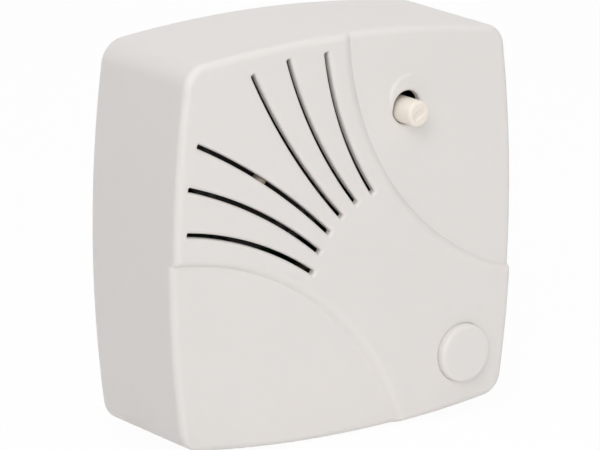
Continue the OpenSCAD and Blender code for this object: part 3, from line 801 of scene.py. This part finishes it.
def glossy(name, colour, roughness=0.2, spread=0.06):
    """Lacquer, sleeve or glue: an even colour with slow ripples in the gloss."""
    def build(tone):
        patches = tone.noise(150.0)
        ripple = tone.noise(420.0, 2.0)
        return {
            "Base Color": patches.between(*shades(colour, spread)),
            "Roughness": ripple.ranged(roughness - 0.05, roughness + 0.1),
            "Normal": ripple.bump(2e-5),
        }
    return finish_of(name, build)


def finishes():
    """One material for each of the record's slots. Light goes about a millimetre into the pale plastics."""
    milky = {"Subsurface_Weight": 0.3, "Subsurface_Radius": (1.0, 0.9, 0.8), "Subsurface_Scale": 0.001}
    return {
        "cover_plastic": moulded("off_white_plastic", (0.765, 0.733, 0.708), **milky),
        "base_plastic": moulded("wall_plate_plastic", (0.70, 0.67, 0.64), 0.48),
        "cream_plastic": moulded("cream_plastic", (0.83, 0.77, 0.69), 0.36, 1800.0, **milky),
        "black_plastic": moulded("black_plastic", (0.018, 0.018, 0.018), 0.45, spread=0.2),
        "red_plastic": moulded("red_plastic", (0.5, 0.05, 0.04), 0.3),
        "green_plastic": moulded("green_plastic", (0.06, 0.2, 0.08), 0.4, spread=0.06),
        "board": laminate("board_laminate", (0.03, 0.1, 0.045)),
        "capacitor_sleeve": glossy("capacitor_sleeve", (0.02, 0.04, 0.12)),
        "resistor_lacquer": glossy("resistor_lacquer", (0.6, 0.46, 0.25), 0.3),
        "steel": metal("zinc_plated_steel", (0.55, 0.56, 0.57), 0.34, (1, 8, 1)),
        "black_steel": moulded(
            "black_painted_steel", (0.015, 0.015, 0.015), 0.55, 900.0, 1e-5, 0.2, Specular_IOR_Level=0.2),
        "tin": metal("tinned_metal", (0.62, 0.62, 0.61), 0.25),
        "brass": metal("brass_sheet", (0.68, 0.49, 0.18), 0.28),
        "copper": metal("enamelled_copper", (0.5, 0.2, 0.08), 0.3, (1, 20, 1)),
        "foam": foamed("foam_gasket", (0.015, 0.015, 0.015)),
        "black_paper": fibrous("black_cone_paper", (0.012, 0.012, 0.012)),
        "spider_cloth": fibrous("resin_cloth", (0.5, 0.36, 0.14), 2400.0, (1, 1, 1)),
        "glue": glossy("lead_glue", (0.85, 0.71, 0.56), 0.4, 0.08),
        "ferrite": moulded("ferrite", (0.07, 0.07, 0.075), 0.6, 1200.0, 2e-5, 0.2),
    }


def set_camera():
    """Long lens to the left of the front and a little above, rolled by a third of a degree."""
    flat = math.cos(CAMERA_ELEVATION)
    back = Vector((
        math.sin(CAMERA_AZIMUTH) * flat, -math.cos(CAMERA_AZIMUTH) * flat, math.sin(CAMERA_ELEVATION),
    ))
    level = Vector((math.cos(CAMERA_AZIMUTH), math.sin(CAMERA_AZIMUTH), 0))
    upright = back.cross(level)
    right = math.cos(CAMERA_ROLL) * level + math.sin(CAMERA_ROLL) * upright
    up = math.cos(CAMERA_ROLL) * upright - math.sin(CAMERA_ROLL) * level
    place = CAMERA_AIM + CAMERA_RIGHT * right + CAMERA_UP * up + CAMERA_BACK * back
    data = bpy.data.cameras.new("camera")
    data.sensor_fit = "HORIZONTAL"
    data.sensor_width = SENSOR_W
    data.lens = CAMERA_LENS
    camera = bpy.data.objects.new("camera", data)
    camera.matrix_world = Matrix.Translation(place) @ Matrix((right, up, back)).transposed().to_4x4()
    bpy.context.scene.collection.objects.link(camera)
    bpy.context.scene.camera = camera


def set_lamps():
    """Wide lamps at the upper left, in front and overhead, which face the object."""
    for name, energy, way in LAMPS:
        lamp = bpy.data.lights.new(name, "AREA")
        lamp.shape = "DISK"
        lamp.size = LAMP_SIZE
        lamp.energy = energy
        aim = Vector(way).normalized()
        light = bpy.data.objects.new(name, lamp)
        light.location = LAMP_DISTANCE * aim
        light.rotation_euler = aim.to_track_quat("Z", "Y").to_euler()
        bpy.context.scene.collection.objects.link(light)


def seen_directly(tone):
    """1 for a ray from the camera, a reflection or through glass, and 0 for light that falls on a surface."""
    kinds = ("Is Camera Ray", "Is Glossy Ray", "Is Transmission Ray")
    camera, glossy_ray, through = [tone.node("ShaderNodeLightPath", out=kind) for kind in kinds]
    return tone.maths("MAXIMUM", tone.maths("MAXIMUM", camera, glossy_ray), through)


def set_world():
    """Even light from all round, which is white where it is seen."""
    world = bpy.data.worlds.new("studio")
    world.use_nodes = True
    bpy.context.scene.world = world
    tree = world.node_tree
    strength = seen_directly(Tone(tree)).ranged(ROUND_LIGHT, 1)
    tree.links.new(strength.socket, tree.nodes["Background"].inputs["Strength"])
    tree.nodes["Background"].inputs["Color"].default_value = WHITE


def set_floor():
    """Floor under the object: matt for the light that falls on it, and almost white where it is seen."""
    corners = np.array([[-1, -1], [1, -1], [1, 1], [-1, 1]]) * FLOOR_HALF
    mesh = bpy.data.meshes.new("floor")
    mesh.from_pydata(np.column_stack([corners, np.full(4, cad_box[0].z)]).tolist(), [], [(0, 1, 2, 3)])
    floor = bpy.data.objects.new("floor", mesh)
    bpy.context.scene.collection.objects.link(floor)
    material = bpy.data.materials.new("white_floor")
    material.use_nodes = True
    tree = material.node_tree
    tree.nodes.remove(tree.nodes["Principled BSDF"])
    tone = Tone(tree)
    matt = tone.node("ShaderNodeBsdfDiffuse", {}, {"Color": FLOOR_PAINT})
    glow = tone.node("ShaderNodeEmission", {}, {"Color": WHITE, "Strength": 1.0})
    mixed = tone.node("ShaderNodeMixShader", {}, {0: seen_directly(tone) * FLOOR_GLOW, 1: matt, 2: glow})
    tree.links.new(mixed.socket, tree.nodes["Material Output"].inputs["Surface"])
    mesh.materials.append(material)


def main():
    """Gives every node its finish, lays the finer pieces over three of them, and sets the scene."""
    slots = finishes()
    for part in frame["record"]["subparts"]:
        mesh = frame["nodes"][part["node"]].data
        mesh.materials.clear()
        mesh.materials.append(slots[part["material_slot"]])
    make_cover(slots["cover_plastic"])
    make_button(slots["cover_plastic"])
    make_spindle(slots["cream_plastic"])
    set_camera()
    set_lamps()
    set_world()
    set_floor()
    bpy.context.scene.view_settings.view_transform = "Standard"


main()
